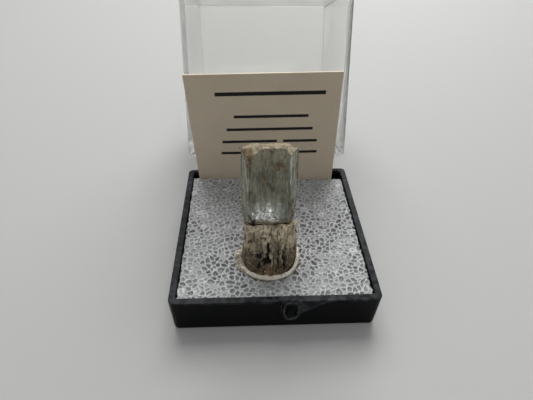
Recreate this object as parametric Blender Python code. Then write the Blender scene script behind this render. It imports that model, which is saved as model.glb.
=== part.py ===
"""Aquamarine crystal fixed in a hinged thumbnail specimen box.

The box stands open. Its black tray holds a block of bead foam, the crystal on its rocky root is
set in a ring of putty in the foam, a card stands behind it, and the clear lid is swung right back
until its far edge rests on the table. Metres, +Z up, +X to the right, +Y away from the viewer.
The origin is the middle of the tray's underside.
"""

import math

import bmesh
import bpy
import numpy as np
from mathutils import Matrix, Vector

MM = 0.001

# Tray, whose sides draw in slightly from the rim down to the underside
BOX_WIDTH = 31.75 * MM
TRAY_HEIGHT = 6.91 * MM
TRAY_DRAFT = 0.1 * MM
TRAY_WALL = 0.95 * MM
TRAY_FLOOR = 1.2 * MM
TRAY_EDGE_RADIUS = 0.45 * MM
CORNER_RADIUS = 0.8 * MM
INNER_CORNER_RADIUS = 0.4 * MM
CUT_OVERRUN = 2 * MM

# Catch on the tray's front: a shield with a pointed top, and a rounded knob on it
CATCH_X = 2.2 * MM
CATCH_WIDTH = 2.8 * MM
CATCH_BOTTOM = 1.6 * MM
SHIELD_TOP = 6.6 * MM
GABLE_FOOT = 5.9 * MM
CATCH_SHOULDER = 6.9 * MM
CATCH_TIP = 7.8 * MM
CATCH_PROUD = 0.35 * MM
KNOB_PROUD = 0.75 * MM
KNOB_WIDTH = 1.6 * MM
KNOB_BOTTOM = 2.6 * MM
KNOB_TOP = 6.5 * MM

# Lid, in its closed place: with the tray it makes a box as high as it is wide
LID_RIM_GAP = 0.12 * MM
LID_HEIGHT = BOX_WIDTH - TRAY_HEIGHT - LID_RIM_GAP
LID_DRAFT = 0.35 * MM
LID_WALL = 1.0 * MM
LID_TOP_RADIUS = 0.6 * MM
LID_TABLE_GAP = 0.03 * MM

# Hinge: a lug with a side pin on the tray, and a drilled ear on the lid, at each side
HINGE_BEHIND = 1.5 * MM
HINGE_ABOVE = 0.5 * MM
HINGE_MIDDLES = (-9.0 * MM, 9.0 * MM)
BARREL_RADIUS = 1.05 * MM
PIN_RADIUS = 0.55 * MM
PIN_CLEARANCE = 0.08 * MM
LUG_WIDTH = 2.6 * MM
EAR_WIDTH = 1.5 * MM
EAR_GAP = 0.2 * MM
LUG_FOOT = 4.4 * MM
LUG_HALF_DEPTH = 1.02 * MM
LUG_ARM_DROP = 0.2 * MM
LUG_BELOW_RIM = 0.15 * MM
PIN_BITE = 0.4 * MM
EAR_WEB_DROP = 0.35 * MM

# Foam block and the pocket that the putty sits in
FOAM_TOP = 6.55 * MM
FOAM_BACK = 13.4 * MM
FIT_GAP = 0.1 * MM
POCKET_DEPTH = 1.7 * MM
POCKET_RADIUS = 4.85 * MM

# Card
CARD_WIDTH = 26.6 * MM
CARD_HEIGHT = 26.9 * MM
CARD_THICKNESS = 0.3 * MM
CARD_X = -0.25 * MM
CARD_Y = 13.8 * MM
CARD_ROLL = math.radians(-2.0)
CARD_LEAN = math.radians(1.0)
CARD_TURN = math.radians(-1.8)
CARD_FOOT_GAP = 0.02 * MM

# Putty ring
PUTTY_CENTRE = (-0.75 * MM, -7.45 * MM)
PUTTY_RADIUS = 5.05 * MM
PUTTY_STEM_RADIUS = 4.7 * MM
PUTTY_RIM_RISE = 0.7 * MM
PUTTY_CUP_FLOOR = 6.0 * MM
PUTTY_SIDES = 48
PUTTY_TAPER = 0.4 * MM
PUTTY_UNEVEN = 0.12 * MM
PUTTY_FLANGE_INSET = 0.1 * MM
PUTTY_LIP_DROP = 0.2 * MM
PUTTY_MOUTH_SHARE = 0.18
ROOT_CLEARANCE = 0.12 * MM

# Rocky root: half width and half depth, and its middle, at the foot and at the ledge
ROCK_FOOT_Z = PUTTY_CUP_FLOOR + FIT_GAP
ROCK_FOOT_CENTRE = (-0.75 * MM, -7.5 * MM)
ROCK_FOOT_HALF = (4.3 * MM, 3.92 * MM)
ROCK_TOP_CENTRE = (-0.55 * MM, -6.5 * MM)
ROCK_TOP_HALF = (4.2 * MM, 2.85 * MM)
ROCK_BULGE = 0.05 * MM
ROCK_SIDES = 72
ROCK_RINGS = 13
ROCK_SQUARENESS = (2.15, 2.9)
GROOVE_DEPTH = 0.34 * MM
GROOVE_COUNTS = (9, 17)
ROCK_LIP = 0.22 * MM
ROCK_RIM_SHARE = 0.9

# Ledge where the crystal stands on the root: a plane that falls to the back and a little left
LEDGE_Z = 14.1 * MM
LEDGE_SLOPE = (0.05, -0.7)
LEDGE_GAP = 0.12 * MM

# Crystal: a six-sided prism, wider than deep, leaning back a little
CRYSTAL_CENTRE = (-0.79 * MM, -6.55 * MM)
CRYSTAL_HALF_WIDTH = 4.0 * MM
CRYSTAL_HALF_DEPTH = 2.4 * MM
CRYSTAL_FACE_HALF = 2.75 * MM
CRYSTAL_LEAN = (-0.016, 0.135)
CRYSTAL_TOP_Z = 27.8 * MM
CRYSTAL_TOP_FALL = 2.2 * MM
# Chips off the top's front corners: the side, the shares of the half width where each one starts
# and over which it deepens, and its depth
CRYSTAL_CHIPS = ((-1, 0.26, 0.44, 2.4 * MM), (1, 0.32, 0.4, 1.6 * MM))
CRYSTAL_RINGS = 9
FACE_STRIPS = 9
SIDE_STRIPS = 4
STRIP_STEP = 0.09 * MM
STRIP_UNEVEN = 0.3
STRIP_EDGE = 0.02
CORNER_SET_BACK = 0.1 * MM
CAP_RINGS = (0.86, 0.66, 0.4, 0.16)

# Hinge axis, and the angle that lets the lid's far edge down to the table
HINGE_Y = BOX_WIDTH / 2 + HINGE_BEHIND
HINGE_Z = TRAY_HEIGHT + HINGE_ABOVE


def lid_open_angle():
    """Angle from shut to open at which the rounded top back edge of the lid meets the table."""
    edge_y = BOX_WIDTH / 2 - LID_DRAFT - LID_TOP_RADIUS - HINGE_Y
    edge_z = TRAY_HEIGHT + LID_RIM_GAP + LID_HEIGHT - LID_TOP_RADIUS - HINGE_Z
    reach = math.hypot(edge_y, edge_z)
    drop = LID_TABLE_GAP + LID_TOP_RADIUS - HINGE_Z
    return math.acos(drop / reach) - math.atan2(edge_y, edge_z)


def clear_scene():
    """Remove whatever objects the open file holds."""
    for old in list(bpy.data.objects):
        bpy.data.objects.remove(old, do_unlink=True)


def make_collection(name):
    """New collection linked to the scene."""
    made = bpy.data.collections.new(name)
    bpy.context.scene.collection.children.link(made)
    return made


def principled(name, color, roughness, transmission=0.0, ior=1.5, metallic=0.0):
    """Plain Principled material."""
    made = bpy.data.materials.new(name)
    made.use_nodes = True
    shader = made.node_tree.nodes["Principled BSDF"]
    shader.inputs["Base Color"].default_value = (*color, 1.0)
    shader.inputs["Roughness"].default_value = roughness
    shader.inputs["Metallic"].default_value = metallic
    shader.inputs["Transmission Weight"].default_value = transmission
    shader.inputs["IOR"].default_value = ior
    return made


def object_from_bmesh(name, shape, collection, surface=None):
    """Object with the given bmesh as its mesh, its faces turned outwards."""
    bmesh.ops.recalc_face_normals(shape, faces=shape.faces)
    mesh = bpy.data.meshes.new(name)
    shape.to_mesh(mesh)
    shape.free()
    made = bpy.data.objects.new(name, mesh)
    collection.objects.link(made)
    if surface:
        mesh.materials.append(surface)
    return made


def drafted_box(low_half, high_half, z_low, z_high, corner=0.0, rounded_z=None, edge=0.0):
    """Box from z_low to z_high whose half sizes change, with its upright corners rounded.

    low_half and high_half are (x, y) half sizes. The flat end at height rounded_z gets its
    outline rounded over by the radius edge.
    """
    shape = bmesh.new()
    bmesh.ops.create_cube(shape, size=2.0)
    for corner_point in shape.verts:
        x, y, z = corner_point.co
        half, height = (low_half, z_low) if z < 0 else (high_half, z_high)
        corner_point.co = Vector((x * half[0], y * half[1], height))
    if corner:
        upright = [e for e in shape.edges if abs(e.verts[0].co.z - e.verts[1].co.z) > 1e-6]
        bmesh.ops.bevel(shape, geom=upright, offset=corner, segments=4, profile=0.5,
                        affect="EDGES")
    if edge:
        outline = [e for e in shape.edges
                   if all(abs(v.co.z - rounded_z) < 1e-7 for v in e.verts)]
        bmesh.ops.bevel(shape, geom=outline, offset=edge, segments=3, profile=0.5,
                        affect="EDGES")
    return shape


def loft(rings):
    """Closed body through rings of equal point counts, its ends closed by fans."""
    shape = bmesh.new()
    rows = [[shape.verts.new(point) for point in ring] for ring in rings]
    count = len(rows[0])
    for lower, upper in zip(rows, rows[1:]):
        for i in range(count):
            j = (i + 1) % count
            shape.faces.new((lower[i], lower[j], upper[j], upper[i]))
    for row, ring in ((rows[0], rings[0]), (rows[-1], rings[-1])):
        middle = shape.verts.new(np.mean(np.asarray(ring), axis=0))
        for i in range(count):
            shape.faces.new((row[i], row[(i + 1) % count], middle))
    return shape


def cylinder_along_x(name, radius, x_low, x_high, y, z, collection, sides=24):
    """Cylinder from x_low to x_high about the line through y and z."""
    shape = bmesh.new()
    turned = Matrix.Translation(((x_low + x_high) / 2, y, z)) @ Matrix.Rotation(math.pi / 2, 4, "Y")
    bmesh.ops.create_cone(shape, cap_ends=True, segments=sides, radius1=radius, radius2=radius,
                          depth=x_high - x_low, matrix=turned)
    return object_from_bmesh(name, shape, collection)


def block(name, low, high, collection):
    """Plain block between two opposite corners."""
    shape = bmesh.new()
    middle = [(a + b) / 2 for a, b in zip(low, high)]
    size = [b - a for a, b in zip(low, high)]
    matrix = Matrix.Translation(middle) @ Matrix.Diagonal((*size, 1.0))
    bmesh.ops.create_cube(shape, size=1.0, matrix=matrix)
    return object_from_bmesh(name, shape, collection)


def outline_slab(name, points, y_low, y_high, collection):
    """Flat outline in X and Z, carried from y_low to y_high."""
    shape = bmesh.new()
    front = [shape.verts.new((x, y_low, z)) for x, z in points]
    back = [shape.verts.new((x, y_high, z)) for x, z in points]
    shape.faces.new(front)
    shape.faces.new(back[::-1])
    for i in range(len(points)):
        j = (i + 1) % len(points)
        shape.faces.new((front[j], front[i], back[i], back[j]))
    return object_from_bmesh(name, shape, collection)


def combine(target, tools, operation):
    """Boolean of each tool on the target. The tools stay as hidden wire guides."""
    for tool in tools:
        tool.hide_render = True
        tool.display_type = "WIRE"
        step = target.modifiers.new(f"{operation.lower()} {tool.name}", "BOOLEAN")
        step.operation = operation
        step.solver = "EXACT"
        step.object = tool


def shade_smooth(made, angle=40):
    """Smooth shading with edges sharper than the angle kept."""
    made.data.shade_smooth()
    made.data.set_sharp_from_angle(angle=math.radians(angle))


def half_size_at(z):
    """Half the tray's outer width at a height."""
    return BOX_WIDTH / 2 - TRAY_DRAFT * (1 - z / TRAY_HEIGHT)


def make_tray(parts, cutters, surface):
    """Black tray with its catch at the front and hinge lugs at the back."""
    low, high = half_size_at(0), half_size_at(TRAY_HEIGHT)
    body = drafted_box((low, low), (high, high), 0, TRAY_HEIGHT, CORNER_RADIUS, 0,
                       TRAY_EDGE_RADIUS)
    tray = object_from_bmesh("base_tray", body, parts, surface)
    floor_half = half_size_at(TRAY_FLOOR) - TRAY_WALL
    mouth_half = half_size_at(TRAY_HEIGHT + CUT_OVERRUN) - TRAY_WALL
    hollow = drafted_box((floor_half, floor_half), (mouth_half, mouth_half), TRAY_FLOOR,
                         TRAY_HEIGHT + CUT_OVERRUN, INNER_CORNER_RADIUS)
    combine(tray, [object_from_bmesh("tray_hollow", hollow, cutters)], "DIFFERENCE")

    front = -BOX_WIDTH / 2
    radius = CATCH_WIDTH / 2
    turn = np.linspace(math.pi, 2 * math.pi, 9)
    shield = [(CATCH_X + radius * math.cos(a), CATCH_BOTTOM + radius * (1 + math.sin(a)))
              for a in turn]
    left, right = CATCH_X - radius, CATCH_X + radius
    lower = outline_slab("catch_shield", shield + [(right, SHIELD_TOP), (left, SHIELD_TOP)],
                         front - CATCH_PROUD, front + TRAY_WALL / 2, cutters)
    gable_points = [(left, GABLE_FOOT), (right, GABLE_FOOT),
                    (right, CATCH_SHOULDER), (CATCH_X, CATCH_TIP), (left, CATCH_SHOULDER)]
    gable = outline_slab("catch_gable", gable_points, front - CATCH_PROUD, front - FIT_GAP, cutters)
    knob = bmesh.new()
    knob_height = KNOB_TOP - KNOB_BOTTOM
    place = Matrix.Translation((CATCH_X, front, (KNOB_TOP + KNOB_BOTTOM) / 2))
    stretch = Matrix.Diagonal((KNOB_WIDTH / 2, KNOB_PROUD, knob_height / 2, 1))
    bmesh.ops.create_uvsphere(knob, u_segments=16, v_segments=10, radius=1.0, matrix=place @ stretch)
    boss = object_from_bmesh("catch_knob", knob, cutters)
    combine(tray, [lower, gable, boss], "UNION")

    lugs = []
    for middle in HINGE_MIDDLES:
        outward = math.copysign(1, middle)
        x_low, x_high = middle - LUG_WIDTH / 2, middle + LUG_WIDTH / 2
        tag = "right" if middle > 0 else "left"
        barrel = cylinder_along_x(f"lug_barrel_{tag}", BARREL_RADIUS, x_low, x_high, HINGE_Y,
                                  HINGE_Z, cutters)
        arm = block(f"lug_arm_{tag}", (x_low, HINGE_Y - LUG_HALF_DEPTH, LUG_FOOT),
                    (x_high, HINGE_Y + LUG_HALF_DEPTH, HINGE_Z - LUG_ARM_DROP), cutters)
        root = block(f"lug_root_{tag}", (x_low, BOX_WIDTH / 2 - TRAY_WALL / 2, LUG_FOOT),
                     (x_high, HINGE_Y, TRAY_HEIGHT - LUG_BELOW_RIM), cutters)
        pin_start = middle + outward * (LUG_WIDTH / 2 - PIN_BITE)
        pin_end = middle + outward * (LUG_WIDTH / 2 + EAR_GAP + EAR_WIDTH)
        pin = cylinder_along_x(f"hinge_pin_{tag}", PIN_RADIUS, min(pin_start, pin_end),
                               max(pin_start, pin_end), HINGE_Y, HINGE_Z, cutters)
        lugs += [barrel, arm, root, pin]
    combine(tray, lugs, "UNION")
    shade_smooth(tray)


def make_lid(parts, cutters, surface, hinge):
    """Clear lid, modelled shut about the hinge axis and swung open with the hinge."""
    rim = TRAY_HEIGHT + LID_RIM_GAP
    top = rim + LID_HEIGHT
    low, high = BOX_WIDTH / 2, BOX_WIDTH / 2 - LID_DRAFT
    shut = Matrix.Translation((0, -HINGE_Y, -HINGE_Z))
    shell = drafted_box((low, low), (high, high), rim, top, CORNER_RADIUS, top, LID_TOP_RADIUS)
    shell.transform(shut)
    lid = object_from_bmesh("lid", shell, parts, surface)
    slope = LID_DRAFT / LID_HEIGHT
    mouth = low - LID_WALL + slope * CUT_OVERRUN
    roof = high - LID_WALL + slope * LID_WALL
    hollow = drafted_box((mouth, mouth), (roof, roof), rim - CUT_OVERRUN, top - LID_WALL,
                         INNER_CORNER_RADIUS)
    hollow.transform(shut)
    tools = [object_from_bmesh("lid_hollow", hollow, cutters)]
    combine(lid, tools, "DIFFERENCE")

    ears, holes = [], []
    for middle in HINGE_MIDDLES:
        outward = math.copysign(1, middle)
        near = middle + outward * (LUG_WIDTH / 2 + EAR_GAP)
        far = near + outward * EAR_WIDTH
        x_low, x_high = min(near, far), max(near, far)
        tag = "right" if middle > 0 else "left"
        disc = cylinder_along_x(f"ear_disc_{tag}", BARREL_RADIUS, x_low, x_high, 0, 0, cutters)
        web = block(f"ear_web_{tag}", (x_low, -HINGE_BEHIND - LID_WALL / 2, -EAR_WEB_DROP),
                    (x_high, 0, LUG_HALF_DEPTH), cutters)
        hole = cylinder_along_x(f"ear_hole_{tag}", PIN_RADIUS + PIN_CLEARANCE,
                                x_low - CUT_OVERRUN, x_high + CUT_OVERRUN, 0, 0,
                                cutters)
        ears += [disc, web]
        holes.append(hole)
    combine(lid, ears, "UNION")
    combine(lid, holes, "DIFFERENCE")
    shade_smooth(lid)
    for made in [lid, *tools, *ears, *holes]:
        made.parent = hinge


def make_foam(parts, cutters, surface):
    """Foam block that fills the tray, with a round pocket for the putty."""
    low = half_size_at(TRAY_FLOOR) - TRAY_WALL - FIT_GAP
    high = half_size_at(FOAM_TOP) - TRAY_WALL - FIT_GAP
    bottom = TRAY_FLOOR + FIT_GAP
    shape = drafted_box((low, low), (high, high), bottom, FOAM_TOP, INNER_CORNER_RADIUS)
    foam = object_from_bmesh("foam_insert", shape, parts, surface)
    slot = block("card_slot", (-BOX_WIDTH, 0, 0), (BOX_WIDTH, BOX_WIDTH, BOX_WIDTH), cutters)
    slot.location = (0, FOAM_BACK, 0)
    slot.rotation_euler = (0, 0, CARD_TURN)
    pocket = bmesh.new()
    height = 2 * POCKET_DEPTH
    bmesh.ops.create_cone(pocket, cap_ends=True, segments=40, radius1=POCKET_RADIUS,
                          radius2=POCKET_RADIUS, depth=height,
                          matrix=Matrix.Translation((*PUTTY_CENTRE, FOAM_TOP)))
    combine(foam, [slot, object_from_bmesh("putty_pocket", pocket, cutters)], "DIFFERENCE")


def make_card(parts, surface):
    """Card that stands in the slot behind the foam, a little askew, on its left corner."""
    low = Vector((-CARD_WIDTH / 2, -CARD_THICKNESS / 2, 0))
    high = Vector((CARD_WIDTH / 2, CARD_THICKNESS / 2, CARD_HEIGHT))
    card = block("label_card", low, high, parts)
    card.data.materials.append(surface)
    foot_z = TRAY_FLOOR + FIT_GAP - CARD_WIDTH / 2 * math.sin(CARD_ROLL)
    turn = (Matrix.Rotation(CARD_TURN, 4, "Z") @ Matrix.Rotation(CARD_LEAN, 4, "X")
            @ Matrix.Rotation(CARD_ROLL, 4, "Y"))
    back = (FOAM_TOP - foot_z) * math.tan(CARD_LEAN)
    card.matrix_world = Matrix.Translation((CARD_X, CARD_Y + back, foot_z + CARD_FOOT_GAP)) @ turn


def make_putty(parts, surface):
    """Lump of putty: a stem pressed into the foam, a cup for the root, and an uneven rim.

    The rim's height and radius follow a few waves round the ring.
    """
    angles = np.linspace(0, 2 * math.pi, PUTTY_SIDES, endpoint=False)
    wave = (0.45 * np.sin(2 * angles + 0.6) + 0.3 * np.sin(5 * angles + 1.9)
            + 0.25 * np.sin(9 * angles + 4.1))
    flange_z = FOAM_TOP + FIT_GAP
    rim_z = flange_z + PUTTY_RIM_RISE * (1 + 0.25 * wave)
    outer = PUTTY_RADIUS + PUTTY_UNEVEN * wave

    def ring(radius, z):
        x = PUTTY_CENTRE[0] + radius * np.cos(angles)
        y = PUTTY_CENTRE[1] + radius * np.sin(angles)
        return np.column_stack([x, y, z * np.ones(PUTTY_SIDES)])

    rock = rock_outline(angles, 0.0)
    toward = np.column_stack([np.cos(angles), np.sin(angles)])
    clear = ROOT_CLEARANCE * toward
    inner = np.column_stack([rock + clear, np.full(PUTTY_SIDES, PUTTY_CUP_FLOOR)])
    mouth = np.column_stack([rock_outline(angles, PUTTY_MOUTH_SHARE) + clear,
                             rim_z - PUTTY_LIP_DROP])
    crest_xy = ring(outer, 0)[:, :2] * 0.45 + mouth[:, :2] * 0.55
    crest = np.column_stack([crest_xy, rim_z])
    stem_z = FOAM_TOP - POCKET_DEPTH + FIT_GAP
    rings = [ring(PUTTY_STEM_RADIUS - PUTTY_TAPER, stem_z),
             ring(PUTTY_STEM_RADIUS, stem_z + PUTTY_TAPER),
             ring(PUTTY_STEM_RADIUS, flange_z),
             ring(outer - PUTTY_FLANGE_INSET, flange_z),
             ring(outer, (flange_z * 0.6 + rim_z * 0.4)),
             crest, mouth, inner]
    putty = object_from_bmesh("mounting_putty", loft(rings), parts, surface)
    shade_smooth(putty, 60)


def rock_outline(angles, share):
    """Outline of the root at a share of its height, as x and y for each angle.

    A squarish oval that narrows and moves back with height, bulging a little low down.
    """
    grow = ROCK_BULGE * np.sin(math.pi * np.clip(share * 1.6, 0, 1))
    middle = np.array(ROCK_FOOT_CENTRE) * (1 - share) + np.array(ROCK_TOP_CENTRE) * share
    half = np.array(ROCK_FOOT_HALF) * (1 - share) + np.array(ROCK_TOP_HALF) * share + grow
    power = 2 / (ROCK_SQUARENESS[0] * (1 - share) + ROCK_SQUARENESS[1] * share)
    c, s = np.cos(angles), np.sin(angles)
    x = middle[0] + half[0] * np.sign(c) * np.abs(c) ** power
    y = middle[1] + half[1] * np.sign(s) * np.abs(s) ** power
    return np.column_stack([x, y])


def ledge_height(x, y):
    """Height of the ledge's plane at a place."""
    across, deep = x - CRYSTAL_CENTRE[0], y - CRYSTAL_CENTRE[1]
    return LEDGE_Z + LEDGE_SLOPE[0] * across + LEDGE_SLOPE[1] * deep


def make_rock(parts, surface):
    """Root of fibrous rock: upright grooves of uneven depth that wander a little with height."""
    angles = np.linspace(0, 2 * math.pi, ROCK_SIDES, endpoint=False)
    rings = []
    for share in np.linspace(0, 1, ROCK_RINGS):
        drift = 0.12 * math.sin(5 * share)
        coarse, fine = GROOVE_COUNTS
        groove = (0.5 * np.abs(np.sin(coarse / 2 * (angles + drift)))
                  + 0.3 * np.abs(np.sin(fine / 2 * (angles - drift) + 0.7))
                  + 0.2 * np.sin(3 * angles + 4 * share))
        depth = GROOVE_DEPTH * (0.35 + 0.65 * math.sin(math.pi * min(share + 0.12, 1)))
        outline = rock_outline(angles, share)
        middle = outline.mean(axis=0)
        inward = middle - outline
        inward /= np.linalg.norm(inward, axis=1)[:, None]
        outline = outline + inward * (depth * (1 - groove))[:, None]
        lip = ROCK_LIP * np.sin(4 * angles + 1.0) * math.sin(math.pi * share)
        z = ROCK_FOOT_Z + share * (ledge_height(*outline.T) - ROCK_FOOT_Z) + lip
        rings.append(np.column_stack([outline, z]))
    top = rings[-1]
    inset = top.copy()
    inset[:, :2] = top[:, :2].mean(axis=0) + (
        top[:, :2] - top[:, :2].mean(axis=0)) * ROCK_RIM_SHARE
    inset[:, 2] = ledge_height(inset[:, 0], inset[:, 1])
    rings.append(inset)
    rock = object_from_bmesh("matrix_root", loft(rings), parts, surface)
    shade_smooth(rock, 50)


def crystal_outline():
    """Outline of the prism about its own middle: six faces, each cut in upright strips.

    Neighbouring strips stand at slightly different depths, as the growth lines of beryl do.
    """
    w, d, f = CRYSTAL_HALF_WIDTH, CRYSTAL_HALF_DEPTH, CRYSTAL_FACE_HALF
    corners = [(-f, -d), (f, -d), (w, -CORNER_SET_BACK), (f, d), (-f, d),
               (-w, -CORNER_SET_BACK)]
    strips = [FACE_STRIPS, SIDE_STRIPS, SIDE_STRIPS, FACE_STRIPS, SIDE_STRIPS, SIDE_STRIPS]
    points = []
    for side, count in enumerate(strips):
        start = np.array(corners[side])
        end = np.array(corners[(side + 1) % 6])
        along = (end - start) / np.linalg.norm(end - start)
        inward = np.array((-along[1], along[0]))
        steps = np.random.default_rng(side + 11).random(count) * STRIP_STEP
        bounds = np.linspace(0, 1, count + 1)
        bounds[1:-1] += STRIP_UNEVEN / count * np.sin(7.0 * np.arange(1, count) + side)
        for k in range(count):
            for edge in (bounds[k] + STRIP_EDGE, bounds[k + 1] - STRIP_EDGE):
                points.append(start + (end - start) * edge + inward * steps[k])
    return np.array(points)


def crystal_top(x, y):
    """Height of the broken top: highest in front, falling to the back, in low steps.

    Its two front corners are chipped off.
    """
    u = (x - CRYSTAL_CENTRE[0]) / CRYSTAL_HALF_WIDTH
    v = (y - CRYSTAL_CENTRE[1] - CRYSTAL_LEAN[1] * (CRYSTAL_TOP_Z - LEDGE_Z)) / CRYSTAL_HALF_DEPTH
    dome = -0.35 * MM * u ** 4 - CRYSTAL_TOP_FALL * (v + 1) / 2
    steps = 0.06 * MM * np.sin(5.1 * u + 2.2 * v) + 0.04 * MM * np.sin(9.7 * v - 4.3 * u + 1.0)
    chipped = 0.0
    for side, start, reach, depth in CRYSTAL_CHIPS:
        chipped = chipped + (depth * np.clip((side * u - start) / reach, 0, 1) ** 1.3
                             * np.clip(-v, 0, 1))
    return CRYSTAL_TOP_Z + dome + steps - chipped


def make_crystal(parts, surface):
    """Clear prism from the ledge to its broken top, leaning back."""
    outline = crystal_outline()
    rings = []
    for share in np.linspace(0, 1, CRYSTAL_RINGS):
        z_middle = LEDGE_Z + share * (CRYSTAL_TOP_Z - LEDGE_Z)
        rise = z_middle - LEDGE_Z
        swell = 0.955 + 0.07 * math.sin(math.pi * min(share * 0.9, 1) ** 0.8)
        x = CRYSTAL_CENTRE[0] + outline[:, 0] * swell + CRYSTAL_LEAN[0] * rise
        y = CRYSTAL_CENTRE[1] + outline[:, 1] * swell + CRYSTAL_LEAN[1] * rise
        foot = ledge_height(x, y) + LEDGE_GAP
        head = crystal_top(x, y)
        z = foot + (head - foot) * share
        rings.append(np.column_stack([x, y, z]))
    rim = rings[-1]
    middle = rim[:, :2].mean(axis=0)
    for size in CAP_RINGS:
        xy = middle + (rim[:, :2] - middle) * size
        rings.append(np.column_stack([xy, crystal_top(xy[:, 0], xy[:, 1])]))
    object_from_bmesh("aquamarine_crystal", loft(rings), parts, surface)


def main():
    clear_scene()
    parts = make_collection("aquamarine_specimen")
    cutters = make_collection("cutters")
    hinge = bpy.data.objects.new("lid_hinge", None)
    parts.objects.link(hinge)
    hinge.location = (0, HINGE_Y, HINGE_Z)
    hinge.rotation_euler = (-lid_open_angle(), 0, 0)

    make_tray(parts, cutters, principled("black_plastic", (0.012, 0.013, 0.015), 0.3))
    make_lid(parts, cutters, principled("clear_plastic", (0.95, 0.96, 0.96), 0.05, 1.0, 1.59), hinge)
    make_foam(parts, cutters, principled("white_foam", (0.72, 0.73, 0.73), 0.7))
    make_card(parts, principled("beige_card", (0.62, 0.53, 0.4), 0.85))
    make_putty(parts, principled("cream_putty", (0.78, 0.74, 0.66), 0.75))
    make_rock(parts, principled("brown_rock", (0.23, 0.18, 0.13), 0.85))
    make_crystal(parts, principled("green_beryl", (0.62, 0.68, 0.6), 0.12, 0.9, 1.57))


main()
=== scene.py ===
"""Looks of the aquamarine crystal fixed in its hinged specimen box.

The tray, the clear lid and the card are the frame's own solids with a better finish. The foam, the
putty, the root and the crystal are finer surfaces that stand for theirs, and what lies inside the
crystal is added. Sizes are in millimetres, and each mesh is scaled to metres when it is made.
"""

import math

import bpy
import numpy as np
from mathutils import Matrix, Vector


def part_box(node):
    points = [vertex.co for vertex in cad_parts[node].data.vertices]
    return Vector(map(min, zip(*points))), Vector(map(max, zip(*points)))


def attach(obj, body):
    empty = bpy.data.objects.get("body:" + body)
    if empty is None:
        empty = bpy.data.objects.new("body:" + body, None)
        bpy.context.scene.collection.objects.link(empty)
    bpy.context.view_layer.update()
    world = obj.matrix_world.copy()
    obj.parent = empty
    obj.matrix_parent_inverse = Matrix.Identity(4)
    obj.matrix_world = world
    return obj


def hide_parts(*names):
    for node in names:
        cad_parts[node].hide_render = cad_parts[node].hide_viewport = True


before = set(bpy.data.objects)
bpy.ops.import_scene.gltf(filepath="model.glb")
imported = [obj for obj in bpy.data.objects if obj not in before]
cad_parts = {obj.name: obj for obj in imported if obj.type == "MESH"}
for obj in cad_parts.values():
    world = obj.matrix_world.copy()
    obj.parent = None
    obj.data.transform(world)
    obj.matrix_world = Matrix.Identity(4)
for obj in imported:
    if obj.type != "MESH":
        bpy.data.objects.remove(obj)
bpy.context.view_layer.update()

MM = 0.001

# Camera, fitted to the corners of the tray, the lid and the card in the 533 by 400 photograph
PHOTO_WIDTH = 533
FOCAL_PIXELS = 399.49
SENSOR_WIDTH = 36.0
EYE = (-3.718, -49.288, 57.004)
EYE_PITCH, EYE_YAW, EYE_ROLL = 0.7316, 0.0568, 0.0229

# Foam block and its cells
FOAM_GRID = 296
CELL_SIZE = 0.9
CELL_DEPTH = 0.34
CELL_RADIUS = (0.34, 0.72)
POCKET_CENTRE = (-0.75, -7.45)
POCKET_HALF = (4.76, 4.36)
POCKET_DEPTH = 1.68
FOAM_BACK, FOAM_BACK_TURN = 13.4, math.radians(-1.8)
FOAM_RAG = 0.16

# Putty ring
PUTTY_HALF = (4.85, 4.45)
PUTTY_STEM, PUTTY_STEM_Z = (4.66, 4.26), (4.98, 5.3, 6.45)
PUTTY_FLANGE_Z = 6.6
PUTTY_CREST_Z = 7.12
PUTTY_CUP_Z = 6.02
PUTTY_COLUMNS, PUTTY_ROWS = 400, 64

# Root
ROOT_FOOT_Z = 6.08
ROOT_FOOT_CENTRE, ROOT_FOOT_HALF = (-0.75, -7.5), (4.3, 3.92)
ROOT_TOP_CENTRE, ROOT_TOP_HALF = (-0.6, -6.5), (4.08, 2.9)
ROOT_SQUARENESS = (2.15, 2.9)
ROOT_COLUMNS, ROOT_ROWS, ROOT_CAP_ROWS = 460, 150, 22

# Crystal
PRISM_CENTRE = (-0.79, -6.55)
PRISM_HALF_WIDTH, PRISM_HALF_DEPTH, PRISM_FACE_HALF = 4.0, 2.4, 2.75
PRISM_LEAN = (-0.016, 0.135)
LEDGE_Z, LEDGE_SLOPE, LEDGE_GAP = 14.1, (0.05, -0.7), 0.1
PRISM_TOP_Z, PRISM_TOP_FALL = 27.8, 2.2
# Chips off the top's front corners: side, shares of the half width to its start and over which it
# deepens, and depth
PRISM_CHIPS = ((-1, 0.22, 0.5, 2.3), (1, 0.42, 0.4, 1.1))
# Share by which the right half is wider at the top
PRISM_FLARE = 0.07
PRISM_POINTS_PER_MM = 24
PRISM_ROWS, PRISM_CAP_ROWS = 120, 34
# Width round the girth, reach up the prism and depth of each set of growth lines
GROWTH_LINES = ((1.1, 16.0, 0.1), (0.42, 9.0, 0.1), (0.17, 5.0, 0.055), (0.085, 3.0, 0.02))
BERYL_IOR, BERYL_TINT, BERYL_DENSITY = 1.57, (0.53, 0.55, 0.38), 95.0
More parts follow.
